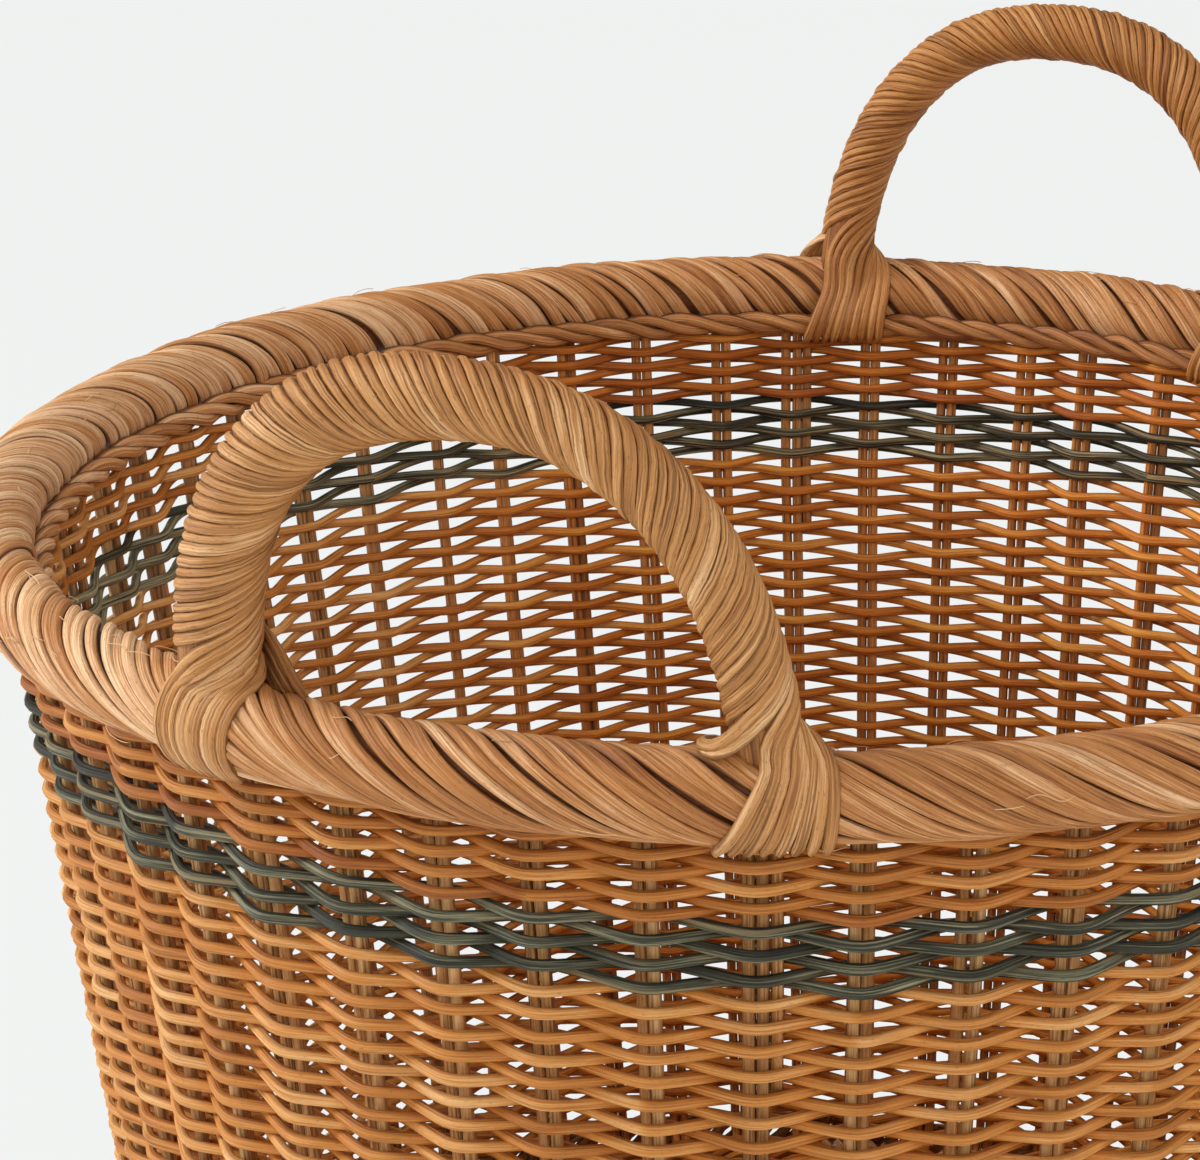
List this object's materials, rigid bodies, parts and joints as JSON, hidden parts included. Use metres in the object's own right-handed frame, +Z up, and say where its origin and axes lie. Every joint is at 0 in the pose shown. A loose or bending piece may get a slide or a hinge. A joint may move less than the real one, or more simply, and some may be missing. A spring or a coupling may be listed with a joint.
{
  "type": "rattan basket",
  "caption": "Round woven rattan basket with sloping sides, a thick rolled rim, a dyed stripe below it and a roped loop handle on each side.",
  "frame": {"origin": "on the floor, under the centre of the basket", "axes": "+Z up; the two handles stand near the X axis"},
  "size_m": [0.5046, 0.5034, 0.4478],
  "materials": {
    "stake_rattan": "satin",
    "wall_rattan": "satin",
    "dyed_rattan": "satin",
    "rim_rattan": "satin",
    "handle_rattan": "satin"
  },
  "bodies": {
    "root": {"spoke_pair_01": "stake_rattan", "spoke_pair_02": "stake_rattan", "spoke_pair_03": "stake_rattan", "spoke_pair_04": "stake_rattan", "spoke_pair_05": "stake_rattan", "spoke_pair_06": "stake_rattan", "spoke_pair_07": "stake_rattan", "spoke_pair_08": "stake_rattan", "spoke_pair_09": "stake_rattan", "spoke_pair_10": "stake_rattan", "spoke_pair_11": "stake_rattan", "spoke_pair_12": "stake_rattan", "spoke_pair_13": "stake_rattan", "spoke_pair_14": "stake_rattan", "spoke_pair_15": "stake_rattan", "spoke_pair_16": "stake_rattan", "spoke_pair_17": "stake_rattan", "spoke_pair_18": "stake_rattan", "spoke_pair_19": "stake_rattan", "spoke_pair_20": "stake_rattan", "spoke_pair_21": "stake_rattan", "spoke_pair_22": "stake_rattan", "spoke_pair_23": "stake_rattan", "spoke_pair_24": "stake_rattan", "spoke_pair_25": "stake_rattan", "spoke_pair_26": "stake_rattan", "base_weave": "wall_rattan", "foot_border": "rim_rattan", "wall_weave_lower": "wall_rattan", "wall_stripe": "dyed_rattan", "wall_weave_upper": "wall_rattan", "inner_braid": "wall_rattan", "rim_hoop": "stake_rattan", "rim_wrap": "rim_rattan", "right_handle_bow": "stake_rattan", "right_handle_wrap": "handle_rattan", "right_handle_lashing_a": "handle_rattan", "right_handle_lashing_b": "handle_rattan", "left_handle_bow": "stake_rattan", "left_handle_wrap": "handle_rattan", "left_handle_lashing_a": "handle_rattan", "left_handle_lashing_b": "handle_rattan"}
  },
  "joints": []
}
